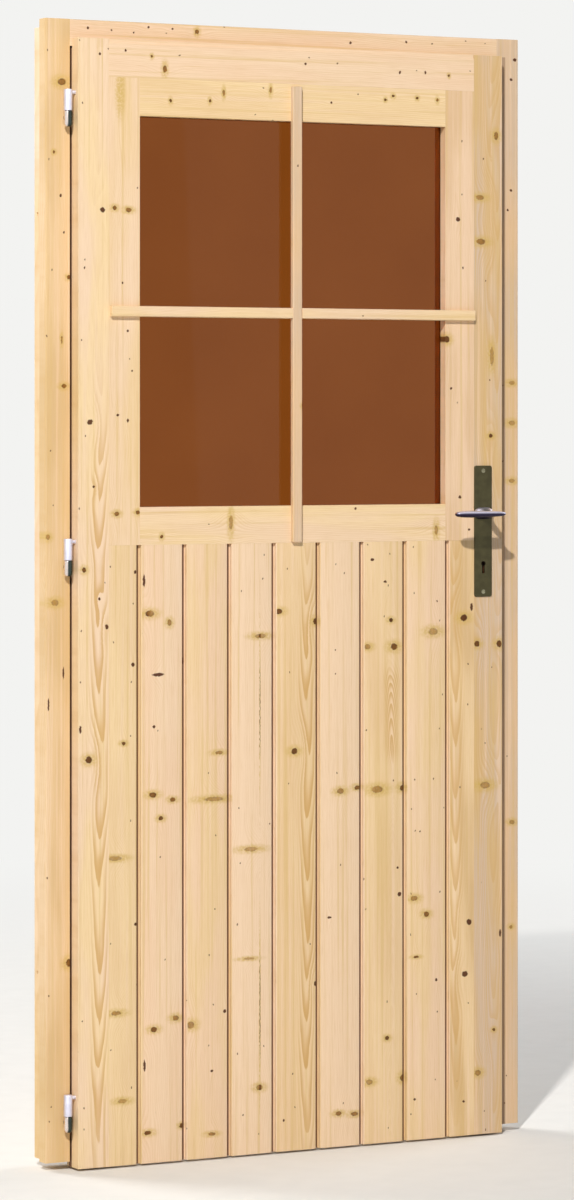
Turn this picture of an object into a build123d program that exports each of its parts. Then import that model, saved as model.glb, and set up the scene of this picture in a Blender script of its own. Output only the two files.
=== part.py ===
# Half-glazed boarded door of a garden house, in its timber frame.
# X runs to the right as seen from outside, -Y points outwards, Z is up, all in millimetres.
# Origin: middle of the threshold's underside, in the plane of the wall's outer face.
from build123d import *
import math
import os

os.makedirs("parts", exist_ok=True)

# Leaf and its place in the frame
leaf_width = 840.0
leaf_height = 1927.0
leaf_thickness = 44.0
leaf_proud = 25.0
leaf_drop = 10.0
side_gap = 4.0
top_lap = 13.0
top_gap = 3.0
lap_gap = 1.0

# Frame timbers
casing_width = 46.0
casing_thickness = 24.0
casing_round = 4.0
jamb_thickness = 34.0
jamb_depth = 45.0
stop_width = 12.0
stop_depth = 26.0
stop_gap = 1.0
stop_round = 2.0
threshold_height = 16.0
threshold_slope = 4.0
threshold_nose = 10.0

# Leaf timbers
stile_width = 58.0
rail_height = 65.0
rail_lip_height = 7.0
rail_lip_depth = 1.5
sash_width = 59.0
sash_height = 801.0
tenon_length = 25.0
tenon_thickness = 10.0
tenon_depth = 4.0
tenon_shoulder = 10.0
joint_fit = 0.2
ledge_height = 95.0
ledge_foot = 40.0
ledge_chamfer = 4.0

# Tongued and grooved boards
board_thickness = 19.0
board_pitch = 87.4
first_board_width = 61.7
board_round = 1.5
shadow_width = 8.5
shadow_depth = 6.5
tongue_length = 6.0
tongue_thickness = 5.5
tongue_fit = 0.3

# Glazing
glass_setback = 18.0
glass_thickness = 4.0
glass_edge_gap = 2.0
rebate_width = 12.0
bead_chamfer = 5.0
bar_width = 18.4
bar_thickness = 9.0
bar_chamfer = 1.5
bar_end_gap = 2.0
bar_top_gap = 5.0

# Lift-off hinges
hinge_foot_inset = 62.0
hinge_head_inset = 88.0
middle_hinge_drop = 52.0
hinge_length = 64.0
hinge_radius = 7.4
hinge_axis_gap = 13.1
hinge_lower_length = 27.0
hinge_split_gap = 0.2
hinge_tip_height = 5.0
hinge_tip_radius = 4.5
hinge_pin_radius = 4.0
hinge_pin_length = 26.0
hinge_pin_fit = 0.05
hinge_arm_radius = 3.5
hinge_arm_drop = 5.0
hinge_arm_reach = 36.0
hinge_frame_arm_reach = 34.0
hinge_edge = 0.8
arm_fit = 0.05

# Lock
backset = 40.0
spindle_height = 1109.0
lock_centre_height = 90.0
lock_setback = 34.5
case_thickness = 14.0
case_depth = 52.0
case_wall = 1.2
case_above = 48.0
case_below = 45.0
case_fit = 0.4
faceplate_width = 16.0
faceplate_thickness = 3.0
faceplate_length = 226.0
spindle_side = 8.0
spindle_fit = 0.1
follower_radius = 8.4
follower_fit = 0.1
follower_arm_length = 14.0
follower_arm_width = 5.0
follower_arm_angle = 60.0
follower_plate = 4.0
bolt_thickness = 10.0
bolt_fit = 0.3
latch_height = 26.0
latch_reach = 12.0
latch_stroke = 9.4
latch_body_back = 20.0
latch_lip = 2.0
hook_gap = 0.6
hook_width = 2.5
hook_drop = 2.0
hook_bar = 3.5
hook_bar_gap = 0.8
dead_bolt_height = 30.0
dead_bolt_body = 28.0
dead_bolt_stroke = 14.0
bolt_tail_height = 11.0
bolt_tail_reach = 52.0
talon_width = 6.0
talon_depth = 4.0

# Strike plate in the lock-side casing
strike_thickness = 2.0
strike_width = 17.0
strike_length = 190.0
strike_clear = 1.2
pocket_depth = 14.0

# Handle plates and levers
plate_width = 36.0
plate_height = 234.0
plate_below = 149.0
plate_thickness = 2.5
plate_corner = 4.0
plate_edge = 0.8
keyhole_radius = 4.6
keyhole_slot = 5.4
keyhole_drop = 15.0
wood_hole_clear = 3.5
spindle_hole_radius = 11.0
neck_hole_radius = 8.1
neck_fit = 0.1
collar_radius = 10.5
collar_height = 4.0
neck_radius = 6.6
lever_reach = 68.6
lever_length = 92.0
lever_small_radius = 6.0
lever_big_radius = 6.6
collar_clear = 0.2
collar_slope = 3.0
neck_taper = 0.6
lever_crown = 22.0
spindle_end_gap = 1.0
screw_inset = 9.0
screw_head_radius = 3.9
screw_head_height = 2.2
screw_shank_radius = 1.8
screw_length = 16.0
screw_slot_width = 1.0
screw_slot_depth = 0.8

# Fixing holes of the frame
fixing_radius = 3.0
fixing_spacing = 1300.0
fixing_inset = 33.0

# How far a cut runs past the face that it opens
over = 1.0

# Levels and planes worked out from the sizes above
opening_half = leaf_width / 2 + side_gap
leaf_half = leaf_width / 2
casing_face = -casing_thickness
leaf_front = casing_face - leaf_proud
leaf_back = leaf_front + leaf_thickness
leaf_bottom = -leaf_drop
leaf_top = leaf_bottom + leaf_height
head_z = leaf_top - top_lap
frame_top = head_z + casing_width
stop_front = leaf_back + stop_gap
inner_half = leaf_half - stile_width
top_rail_bottom = leaf_top - rail_height
sash_bottom = top_rail_bottom - sash_height
pane_half = inner_half - sash_width
pane_bottom = sash_bottom + rail_height
pane_top = top_rail_bottom - rail_height
glass_front = leaf_front + glass_setback
glass_back = glass_front + glass_thickness
middle_hinge_height = sash_bottom - leaf_bottom - middle_hinge_drop
upper_hinge_height = leaf_height - hinge_head_inset - hinge_length
hinge_heights = [hinge_foot_inset, middle_hinge_height, upper_hinge_height]
hinge_x = -leaf_half - hinge_axis_gap
hinge_y = casing_face - leaf_proud / 2
spindle_x = leaf_half - backset
spindle_z = leaf_bottom + spindle_height
keyhole_z = spindle_z - lock_centre_height
plate_z = spindle_z - plate_below + plate_height / 2
lock_y = leaf_front + lock_setback
case_front = leaf_half - faceplate_thickness
case_back = case_front - case_depth
case_z0 = keyhole_z - case_below
case_z1 = spindle_z + case_above
case_mid_z = (case_z0 + case_z1) / 2


def block(x0, x1, y0, y1, z0, z1):
    """A square-edged timber or cut between two opposite corners."""
    centre = Pos((x0 + x1) / 2, (y0 + y1) / 2, (z0 + z1) / 2)
    return centre * Box(x1 - x0, y1 - y0, z1 - z0)


def rod_x(radius, x0, x1, y, z):
    """A round rod or bore along X."""
    return Pos((x0 + x1) / 2, y, z) * Rot(0, 90, 0) * Cylinder(radius, x1 - x0)


def rod_y(radius, x, y0, y1, z):
    """A round rod or bore along Y."""
    return Pos(x, (y0 + y1) / 2, z) * Rot(90, 0, 0) * Cylinder(radius, y1 - y0)


def rounded_lath(width, depth, length, radius):
    """A planed lath standing on Z with its front right arris rounded, its back left corner at 0, 0."""
    section = Rectangle(width, depth, align=(Align.MIN, Align.MAX))
    arris = section.vertices().sort_by(Axis.X)[-2:].sort_by(Axis.Y)[0]
    section = fillet(arris, radius)
    return extrude(section, length)


def save(piece, name):
    """Writes one piece of the door as its own file."""
    piece.label = name
    export_step(piece, f"parts/{name}.step")


def mirrored(piece):
    """The same piece for the other side of the door."""
    return mirror(piece, Plane.YZ)


# Casings: planed boards round the opening, rounded on their outer front arris
def side_casing():
    """Right-hand casing, full height."""
    lath = rounded_lath(casing_width, casing_thickness, frame_top, casing_round)
    return Pos(opening_half, 0, 0) * lath


def head_casing():
    """Casing between the side casings, over the opening."""
    lath = rounded_lath(casing_width, casing_thickness, 2 * opening_half, casing_round)
    upright = Rot(0, -90, 0) * lath
    return Pos(opening_half, 0, head_z) * upright


# Jambs: the posts and head that stand in the wall's opening, with fixing holes in the posts
def fixing_holes():
    """Two holes across each post, for the screws into the wall."""
    middle = (head_z + jamb_thickness) / 2
    inner = opening_half - over
    outer = opening_half + jamb_thickness + over
    low = rod_x(fixing_radius, inner, outer, fixing_inset, middle - fixing_spacing / 2)
    high = rod_x(fixing_radius, inner, outer, fixing_inset, middle + fixing_spacing / 2)
    return low + high


def side_jamb():
    """Right-hand post."""
    post = block(opening_half, opening_half + jamb_thickness, 0, jamb_depth, 0, head_z + jamb_thickness)
    return post - fixing_holes()


def head_jamb():
    """Head between the posts."""
    return block(-opening_half, opening_half, 0, jamb_depth, head_z, head_z + jamb_thickness)


# Stop laths and threshold: what the closed leaf rests against
def side_stop():
    """Right-hand stop lath in the reveal."""
    lath = rounded_lath(stop_width, stop_depth, head_z - threshold_height, stop_round)
    turned = mirrored(lath)
    return Pos(opening_half, stop_front + stop_depth, threshold_height) * turned


def head_stop():
    """Stop lath under the head, between the side stops."""
    lath = rounded_lath(stop_width, stop_depth, 2 * (opening_half - stop_width), stop_round)
    lying = Rot(0, 90, 0) * lath
    return Pos(-opening_half + stop_width, stop_front + stop_depth, head_z) * lying


def threshold():
    """Sill board with a sloped nose, behind the leaf's foot."""
    outline = Polyline(
        (stop_front, 0),
        (jamb_depth, 0),
        (jamb_depth, threshold_height),
        (stop_front + threshold_nose, threshold_height),
        (stop_front, threshold_height - threshold_slope),
        close=True,
    )
    section = Plane.YZ * make_face(outline)
    return Pos(-opening_half, 0, 0) * extrude(section, 2 * opening_half)


# Leaf frame: two stiles and a top rail whose upper part laps over the head casing
def lap_notch():
    """The step at the back of the leaf's top that clears the head casing."""
    side = leaf_half + over
    return block(-side, side, casing_face - lap_gap, leaf_back + over, head_z - top_gap, leaf_top + over)


def tenon(x0, x1, z0, z1, play):
    """A flat tongue on a rail's end, or with play the mortise that takes it."""
    y0 = leaf_front + tenon_depth - play
    y1 = leaf_front + tenon_depth + tenon_thickness + play
    low = z0 + tenon_shoulder - play
    high = z1 - tenon_shoulder + play
    return block(x0, x1, y0, y1, low, high)


def left_stile():
    """Hinge-side stile with its three hinge bores and the top rail's mortise."""
    stile = block(-leaf_half, -inner_half, leaf_front, leaf_back, leaf_bottom, leaf_top)
    stile -= lap_notch()
    mortise_end = -inner_half - tenon_length - joint_fit
    stile -= tenon(mortise_end, -inner_half, top_rail_bottom, head_z, joint_fit)
    for height in hinge_heights:
        arm_z = leaf_bottom + height + hinge_length - hinge_arm_drop
        bore_end = -leaf_half + hinge_arm_reach + arm_fit
        stile -= rod_x(hinge_arm_radius + arm_fit, -leaf_half - over, bore_end, hinge_y, arm_z)
    return stile


def keyhole_cut(width, radius, drop, y0, y1):
    """Round hole with a slot below it, along Y."""
    slot = Pos(0, -drop / 2) * Rectangle(width, drop)
    face = Circle(radius) + slot + Pos(0, -drop) * Circle(width / 2)
    solid = extrude(Plane.XZ * face, -(y1 - y0))
    return Pos(spindle_x, y0, keyhole_z) * solid


def faceplate_blank(depth):
    """Strip with rounded corners, standing on the case's front edge."""
    flat = RectangleRounded(faceplate_width, faceplate_length, plate_corner)
    return Pos(case_front, lock_y, case_mid_z) * extrude(Plane.YZ * flat, depth)


def lock_mortise():
    """Pocket for the lock case, recess for its faceplate, and the holes that meet them."""
    half = case_thickness / 2 + case_fit
    low = case_z0 - case_fit
    high = case_z1 + case_fit
    pocket = block(case_back - case_fit, leaf_half + over, lock_y - half, lock_y + half, low, high)
    recess = faceplate_blank(faceplate_thickness + over)
    spindle_hole = rod_y(spindle_hole_radius, spindle_x, leaf_front - over, leaf_back + over, spindle_z)
    width = keyhole_slot + 2 * wood_hole_clear
    radius = keyhole_radius + wood_hole_clear
    key_hole = keyhole_cut(width, radius, keyhole_drop, leaf_front - over, leaf_back + over)
    return pocket + recess + spindle_hole + key_hole


def right_stile():
    """Lock-side stile with the lock's mortise, the plate screws' holes and the top rail's mortise."""
    stile = block(inner_half, leaf_half, leaf_front, leaf_back, leaf_bottom, leaf_top)
    stile -= lap_notch()
    mortise_end = inner_half + tenon_length + joint_fit
    stile -= tenon(inner_half, mortise_end, top_rail_bottom, head_z, joint_fit)
    stile -= lock_mortise()
    for z in plate_screw_levels():
        deep = screw_length - plate_thickness + arm_fit
        stile -= rod_y(screw_shank_radius + arm_fit, spindle_x, leaf_front - over, leaf_front + deep, z)
        stile -= rod_y(screw_shank_radius + arm_fit, spindle_x, leaf_back - deep, leaf_back + over, z)
    return stile


def top_rail():
    """Rail between the stiles, with a set-back lip along its top."""
    rail = block(-inner_half, inner_half, leaf_front, leaf_back, top_rail_bottom, leaf_top)
    rail -= lap_notch()
    lip_z = leaf_top - rail_lip_height
    lip_back = leaf_front + rail_lip_depth
    rail -= block(-inner_half, inner_half, leaf_front - over, lip_back, lip_z, leaf_top + over)
    rail += tenon(-inner_half - tenon_length, -inner_half, top_rail_bottom, head_z, 0)
    rail += tenon(inner_half, inner_half + tenon_length, top_rail_bottom, head_z, 0)
    return rail


# Window frame in the upper half, rebated at the back for the pane
def glass_pocket(less):
    """The rebate's space behind the opening, drawn in on each edge."""
    side = pane_half + rebate_width - less
    low = pane_bottom - rebate_width + less
    high = pane_top + rebate_width - less
    return block(-side, side, glass_front, leaf_back + over, low, high)


def sash_side():
    """Right-hand upright of the window frame."""
    upright = block(pane_half, inner_half, leaf_front, leaf_back, sash_bottom, top_rail_bottom)
    upright -= glass_pocket(0)
    mortise_end = pane_half + tenon_length + joint_fit
    upright -= tenon(pane_half, mortise_end, sash_bottom, pane_bottom, joint_fit)
    upright -= tenon(pane_half, mortise_end, pane_top, top_rail_bottom, joint_fit)
    return upright


def sash_rail(low, high):
    """Cross member of the window frame with a tenon at each end."""
    rail = block(-pane_half, pane_half, leaf_front, leaf_back, low, high)
    rail -= glass_pocket(0)
    rail += tenon(-pane_half - tenon_length, -pane_half, low, high, 0)
    rail += tenon(pane_half, pane_half + tenon_length, low, high, 0)
    return rail


def glass_pane():
    """One sheet of tinted glass in the rebate."""
    sheet = block(-leaf_half, leaf_half, glass_front, glass_back, leaf_bottom, leaf_top)
    return sheet & glass_pocket(glass_edge_gap)


def bead(length):
    """Glazing bead standing on Z: chamfered on the arris that faces the opening and the room."""
    section = Rectangle(rebate_width, leaf_back - glass_back, align=(Align.MIN, Align.MIN))
    corner = section.vertices().sort_by(Axis.X)[:2].sort_by(Axis.Y)[-1]
    return extrude(chamfer(corner, bead_chamfer), length)


def side_bead():
    """Right-hand bead, between the top and bottom beads."""
    return Pos(pane_half, glass_back, pane_bottom) * bead(pane_top - pane_bottom)


def cross_bead(low_side):
    """Bottom or top bead, as wide as the rebate."""
    length = 2 * (pane_half + rebate_width)
    lying = Rot(0, -90, 0) * bead(length)
    placed = Pos(length / 2, glass_back, pane_top) * lying
    if low_side:
        middle = (pane_bottom + pane_top) / 2
        placed = mirror(placed, Plane.XY.offset(middle))
    return placed


# Glazing bars: two laths on the outer face, halved into each other where they cross
def lath_section():
    """Section of a bar, chamfered along both front arrises."""
    section = Rectangle(bar_width, bar_thickness, align=(Align.CENTER, Align.MAX))
    front = section.vertices().sort_by(Axis.Y)[:2]
    return chamfer(front, bar_chamfer)


bar_z = (pane_bottom + pane_top) / 2


def crossing(front_half):
    """The half of the crossing that is cut out of one bar."""
    middle_y = leaf_front - bar_thickness / 2
    reach = bar_width / 2
    if front_half:
        y0, y1 = leaf_front - bar_thickness - over, middle_y
    else:
        y0, y1 = middle_y, leaf_front + over
    return block(-reach, reach, y0, y1, bar_z - reach, bar_z + reach)


def upright_bar():
    """Bar down the middle of the pane, its back cut away at the crossing."""
    low = sash_bottom + bar_end_gap
    high = top_rail_bottom - bar_top_gap
    lath = Pos(0, leaf_front, low) * extrude(lath_section(), high - low)
    return lath - crossing(False)


def cross_bar():
    """Bar across the pane, its front cut away at the crossing."""
    half = inner_half - bar_end_gap
    lath = Rot(0, 90, 0) * extrude(lath_section(), 2 * half)
    return Pos(-half, leaf_front, bar_z) * lath - crossing(True)


# Boards of the lower half and the ledges behind them
def board_section():
    """Section of a board: groove on the left, shadow recess and tongue on the right."""
    back_of_tongue = shadow_depth + tongue_thickness
    outline = Polyline(
        (0, 0),
        (board_pitch - shadow_width, 0),
        (board_pitch - shadow_width, shadow_depth),
        (board_pitch + tongue_length, shadow_depth),
        (board_pitch + tongue_length, back_of_tongue),
        (board_pitch, back_of_tongue),
        (board_pitch, board_thickness),
        (0, board_thickness),
        (0, back_of_tongue + tongue_fit),
        (tongue_length + tongue_fit, back_of_tongue + tongue_fit),
        (tongue_length + tongue_fit, shadow_depth - tongue_fit),
        (0, shadow_depth - tongue_fit),
        close=True,
    )
    face = make_face(outline)
    front = face.vertices().group_by(Axis.Y)[0]
    return fillet(front, board_round)


def board_starts():
    """Left edge of each board's section, the first one ripped narrower by the stile."""
    start = -inner_half + first_board_width - board_pitch
    count = math.ceil((inner_half - start) / board_pitch)
    return [start + index * board_pitch for index in range(count)]


def board(start):
    """One board, trimmed to the space between the stiles."""
    solid = extrude(board_section(), sash_bottom - leaf_bottom)
    placed = Pos(start, leaf_front, leaf_bottom) * solid
    space = block(-inner_half, inner_half, leaf_front - over, leaf_back, leaf_bottom, sash_bottom)
    return placed & space


def ledge(low):
    """Cross rail behind the boards, bevelled on its back arrises."""
    bar = block(-inner_half, inner_half, leaf_front + board_thickness, leaf_back, low, low + ledge_height)
    back = bar.edges().filter_by(Axis.X).group_by(Axis.Y)[-1]
    return chamfer(back, ledge_chamfer)


# Lift-off hinges: the frame half carries the pin, the leaf half drops over it
def hinge_frame_half(height):
    """Lower barrel with its pin, and the arm drilled back into casing and post."""
    foot = leaf_bottom + height
    split = foot + hinge_lower_length
    pin_top = split + hinge_pin_length
    outline = Polyline(
        (0, foot),
        (hinge_tip_radius, foot),
        (hinge_radius, foot + hinge_tip_height),
        (hinge_radius, split),
        (hinge_pin_radius, split),
        (hinge_pin_radius, pin_top - hinge_edge),
        (hinge_pin_radius - hinge_edge, pin_top),
        (0, pin_top),
        close=True,
    )
    barrel = Pos(hinge_x, hinge_y, 0) * revolve(Plane.XZ * make_face(outline), Axis.Z)
    arm_z = (foot + hinge_tip_height + split) / 2
    return barrel + rod_y(hinge_arm_radius, hinge_x, hinge_y, hinge_frame_arm_reach, arm_z)


def hinge_frame_bore(height):
    """Bore for a frame half's arm."""
    foot = leaf_bottom + height
    arm_z = (foot + hinge_tip_height + foot + hinge_lower_length) / 2
    end = hinge_frame_arm_reach + arm_fit
    return rod_y(hinge_arm_radius + arm_fit, hinge_x, casing_face - over, end, arm_z)


def hinge_leaf_half(height):
    """Upper barrel, bored for the pin, and the arm drilled into the stile's edge."""
    foot = leaf_bottom + height
    low = foot + hinge_lower_length + hinge_split_gap
    top = foot + hinge_length
    barrel = Pos(hinge_x, hinge_y, (low + top) / 2) * Cylinder(hinge_radius, top - low)
    rim = barrel.edges().filter_by(GeomType.CIRCLE).group_by(Axis.Z)[-1]
    barrel = chamfer(rim, hinge_edge)
    arm_end = -leaf_half + hinge_arm_reach
    barrel += rod_x(hinge_arm_radius, hinge_x, arm_end, hinge_y, top - hinge_arm_drop)
    bore_top = foot + hinge_lower_length + hinge_pin_length + hinge_split_gap
    bore_middle = (low + bore_top) / 2
    bore = Cylinder(hinge_pin_radius + hinge_pin_fit, bore_top - low)
    return barrel - Pos(hinge_x, hinge_y, bore_middle) * bore


# Lock: case, faceplate, follower, latch and dead bolt
latch_z = spindle_z
dead_z = keyhole_z


def bolt_window(height, z, clear, x0, x1):
    """Opening for a bolt of a given height, with some clearance."""
    half = bolt_thickness / 2 + clear
    return block(x0, x1, lock_y - half, lock_y + half, z - height / 2 - clear, z + height / 2 + clear)


def lock_case():
    """Sheet-steel box, open towards the faceplate, with holes for the follower and the key."""
    half = case_thickness / 2
    room = half - case_wall
    case = block(case_back, case_front, lock_y - half, lock_y + half, case_z0, case_z1)
    floor = case_z0 + case_wall
    roof = case_z1 - case_wall
    case -= block(case_back + case_wall, case_front, lock_y - room, lock_y + room, floor, roof)
    past = half + over
    case -= rod_y(follower_radius + follower_fit, spindle_x, lock_y - past, lock_y + past, spindle_z)
    case -= keyhole_cut(keyhole_slot, keyhole_radius, keyhole_drop, lock_y - past, lock_y + past)
    return case


def faceplate_screw_levels():
    """Heights of the two faceplate screws."""
    reach = faceplate_length / 2 - screw_inset
    return [case_mid_z - reach, case_mid_z + reach]


def faceplate():
    """Round-ended strip let into the stile's edge, with windows for both bolts."""
    strip = faceplate_blank(faceplate_thickness)
    strip -= bolt_window(latch_height, latch_z, bolt_fit, case_front - over, leaf_half + over)
    strip -= bolt_window(dead_bolt_height, dead_z, bolt_fit, case_front - over, leaf_half + over)
    return strip


def follower():
    """Hub that the square spindle turns, with the cam arm that draws the latch back."""
    half = case_thickness / 2
    hub = rod_y(follower_radius, spindle_x, lock_y - half, lock_y + half, spindle_z)
    arm = Pos(follower_arm_length / 2, 0) * Rectangle(follower_arm_length, follower_arm_width)
    arm = Rot(0, 0, follower_arm_angle) * arm
    cam = extrude(Plane.XZ * arm, follower_plate / 2, both=True)
    hub += Pos(spindle_x, lock_y, spindle_z) * cam
    side = spindle_side + 2 * spindle_fit
    hole = Box(side, case_thickness + 2 * over, side)
    return hub - Pos(spindle_x, lock_y, spindle_z) * hole


def latch_bolt():
    """Sloped head, body in the case, and the hook over the follower's cam."""
    y0 = lock_y - bolt_thickness / 2
    y1 = lock_y + bolt_thickness / 2
    tip = leaf_half + latch_reach
    back = spindle_x + latch_body_back
    outline = Polyline(
        (back, y0),
        (tip, y0),
        (tip, y0 + latch_lip),
        (leaf_half + latch_lip, y1),
        (back, y1),
        close=True,
    )
    low = latch_z - latch_height / 2
    head = Pos(0, 0, low) * extrude(make_face(outline), latch_height)
    angle = math.radians(follower_arm_angle)
    cam_x = follower_arm_length * math.cos(angle) - follower_arm_width / 2 * math.sin(angle)
    cam_z = math.hypot(follower_arm_length, follower_arm_width / 2)
    hook_x = spindle_x + cam_x - hook_gap
    bar_low = spindle_z + cam_z + hook_bar_gap
    bar_high = bar_low + hook_bar
    p0 = lock_y - follower_plate / 2
    p1 = lock_y + follower_plate / 2
    bar = block(hook_x - hook_width, back + hook_width, p0, p1, bar_low, bar_high)
    hook = block(hook_x - hook_width, hook_x, p0, p1, bar_low - hook_drop, bar_high)
    riser = block(back, back + hook_width, p0, p1, latch_z, bar_high)
    return head + bar + hook + riser


def dead_bolt():
    """Square bolt, drawn back, with its notched tail over the key's path."""
    back = leaf_half - dead_bolt_body
    y0 = lock_y - bolt_thickness / 2
    y1 = lock_y + bolt_thickness / 2
    head = block(back, leaf_half, y0, y1, dead_z - dead_bolt_height / 2, dead_z + dead_bolt_height / 2)
    p0 = lock_y - follower_plate / 2
    p1 = lock_y + follower_plate / 2
    tail_high = dead_z + dead_bolt_height / 2
    tail_low = tail_high - bolt_tail_height + keyhole_radius
    tail = block(leaf_half - bolt_tail_reach, back + over, p0, p1, tail_low, tail_high)
    notch = talon_width / 2
    talon_top = tail_low + talon_depth
    tail -= block(spindle_x - notch, spindle_x + notch, p0 - over, p1 + over, tail_low - over, talon_top)
    return head + tail


# Strike plate and the pockets behind it in the lock-side casing
def strike_pockets():
    """Recess for the plate and the two pockets that take the bolts."""
    half = strike_length / 2
    y0 = lock_y - strike_width / 2
    y1 = lock_y + strike_width / 2
    mouth = opening_half - over
    recess = block(mouth, opening_half + strike_thickness, y0, y1, case_mid_z - half, case_mid_z + half)
    deep = opening_half + pocket_depth
    latch_pocket = bolt_window(latch_height, latch_z, strike_clear, mouth, deep)
    bolt_pocket = bolt_window(dead_bolt_height, dead_z, strike_clear, mouth, deep)
    return recess + latch_pocket + bolt_pocket


def strike_screw_levels():
    """Heights of the two strike plate screws."""
    reach = strike_length / 2 - screw_inset
    return [case_mid_z - reach, case_mid_z + reach]


def strike_plate():
    """Flat steel plate with a window for each bolt and two screw holes."""
    half = strike_length / 2
    y0 = lock_y - strike_width / 2
    y1 = lock_y + strike_width / 2
    rear = opening_half + strike_thickness
    plate = block(opening_half, rear, y0, y1, case_mid_z - half, case_mid_z + half)
    plate -= bolt_window(latch_height, latch_z, strike_clear, opening_half - over, rear + over)
    plate -= bolt_window(dead_bolt_height, dead_z, strike_clear, opening_half - over, rear + over)
    return plate


# Screws: countersunk heads with a slot, and a plain shank
def screw(length):
    """Screw with its head's face at Z 0 and its shank below."""
    outline = Polyline(
        (0, 0),
        (screw_head_radius, 0),
        (screw_shank_radius, -screw_head_height),
        (screw_shank_radius, -length + screw_shank_radius),
        (0, -length),
        close=True,
    )
    body = revolve(Plane.XZ * make_face(outline), Axis.Z)
    slot = Pos(0, 0, -screw_slot_depth / 2) * Box(3 * screw_head_radius, screw_slot_width, screw_slot_depth)
    return body - slot


def screw_seat():
    """The countersunk hole for a screw, a little wider than it."""
    outline = Polyline(
        (0, over),
        (screw_head_radius + over + arm_fit, over),
        (screw_shank_radius + arm_fit, -screw_head_height),
        (screw_shank_radius + arm_fit, -screw_length - over),
        (0, -screw_length - over),
        close=True,
    )
    return revolve(Plane.XZ * make_face(outline), Axis.Z)


def plate_screw_levels():
    """Heights of the plates' end screws."""
    reach = plate_height / 2 - screw_inset
    return [plate_z - reach, plate_z + reach]


outwards = Rot(90, 0, 0)
sideways = Rot(0, 90, 0)
to_middle = Rot(0, -90, 0)
plate_face = leaf_front - plate_thickness
inner_plate_face = leaf_back + plate_thickness


# Handle plates: the same long plate outside and inside
def handle_plate():
    """Long plate outside the leaf, with the lever's hole, the keyhole and two screw holes."""
    flat = RectangleRounded(plate_width, plate_height, plate_corner)
    plate = extrude(Plane.XZ * flat, plate_thickness)
    plate = Pos(spindle_x, leaf_front, plate_z) * plate
    front = plate.faces().sort_by(Axis.Y)[0]
    plate = chamfer(front.edges(), plate_edge)
    plate -= rod_y(neck_hole_radius, spindle_x, plate_face - over, leaf_front + over, spindle_z)
    plate -= keyhole_cut(keyhole_slot, keyhole_radius, keyhole_drop, plate_face - over, leaf_front + over)
    for z in plate_screw_levels():
        plate -= Pos(spindle_x, plate_face, z) * outwards * screw_seat()
    return plate


def to_inside(piece):
    """The same piece on the leaf's room side."""
    return mirror(piece, Plane.XZ.offset(-(leaf_front + leaf_back) / 2))


# Levers: a straight round-ended grip on a turned neck, driven by a square spindle
def lever():
    """Outside lever, pointing at the hinge side."""
    grip_axis = lever_reach - lever_big_radius
    hub = Polyline(
        (0, -plate_thickness),
        (neck_hole_radius - neck_fit, -plate_thickness),
        (neck_hole_radius - neck_fit, collar_clear),
        (collar_radius, collar_clear),
        (collar_radius, collar_height),
        (neck_radius, collar_height + collar_slope),
        (neck_radius - neck_taper, grip_axis),
        (0, grip_axis),
        close=True,
    )
    neck = revolve(Plane.XZ * make_face(hub), Axis.Z)
    small = lever_small_radius
    big = lever_big_radius
    end = -lever_length
    heel = CenterArc((0, 0), small, 0, 90)
    taper = Line((0, small), (end + big, big))
    tip = CenterArc((end + big, 0), big, 90, 90)
    base = Line((end, 0), (small, 0))
    grip = revolve(make_face([heel, taper, tip, base]), Axis.X)
    whole = neck + Pos(0, 0, grip_axis) * grip
    side = spindle_side / 2 + spindle_fit
    whole -= block(-side, side, -side, side, -plate_thickness - over, grip_axis - lever_crown)
    return Pos(spindle_x, plate_face, spindle_z) * outwards * whole


def spindle():
    """Square bar through both levers and the follower."""
    reach = lever_reach - lever_big_radius - lever_crown - spindle_end_gap
    length = inner_plate_face - plate_face + 2 * reach
    middle_y = (plate_face + inner_plate_face) / 2
    return Pos(spindle_x, middle_y, spindle_z) * Box(spindle_side, length, spindle_side)


# Everything that is fixed to the wall
left_bores = hinge_frame_bore(hinge_heights[0])
for height in hinge_heights[1:]:
    left_bores += hinge_frame_bore(height)
strike_spots = [Pos(opening_half, lock_y, z) * to_middle for z in strike_screw_levels()]
strike_seats = strike_spots[0] * screw_seat() + strike_spots[1] * screw_seat()
save(mirrored(side_casing()) - left_bores, "left_casing")
save(side_casing() - strike_pockets() - strike_seats, "right_casing")
save(head_casing(), "head_casing")
save(mirrored(side_jamb()) - left_bores, "left_jamb")
save(side_jamb(), "right_jamb")
save(head_jamb(), "head_jamb")
save(side_stop(), "right_stop")
save(mirrored(side_stop()), "left_stop")
save(head_stop(), "head_stop")
save(threshold(), "threshold")
save(strike_plate() - strike_seats, "strike_plate")
save(Compound(children=[spot * screw(screw_length) for spot in strike_spots]), "strike_screws")

# The leaf's timber and glass
faceplate_spots = [Pos(leaf_half, lock_y, z) * sideways for z in faceplate_screw_levels()]
faceplate_seats = faceplate_spots[0] * screw_seat() + faceplate_spots[1] * screw_seat()
save(left_stile(), "left_stile")
save(right_stile() - faceplate_seats, "right_stile")
save(top_rail(), "top_rail")
save(mirrored(sash_side()), "window_left_side")
save(sash_side(), "window_right_side")
save(sash_rail(pane_top, top_rail_bottom), "window_top_rail")
save(sash_rail(sash_bottom, pane_bottom), "window_bottom_rail")
save(glass_pane(), "glass_pane")
save(mirrored(side_bead()), "left_bead")
save(side_bead(), "right_bead")
save(cross_bead(False), "top_bead")
save(cross_bead(True), "bottom_bead")
save(upright_bar(), "upright_bar")
save(cross_bar(), "cross_bar")
for number, start in enumerate(board_starts(), 1):
    save(board(start), f"board_{number}")
ledge_low = leaf_bottom + ledge_foot
ledge_high = sash_bottom - ledge_height
save(ledge(ledge_low), "bottom_ledge")
save(ledge((ledge_low + ledge_high) / 2), "middle_ledge")
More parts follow.
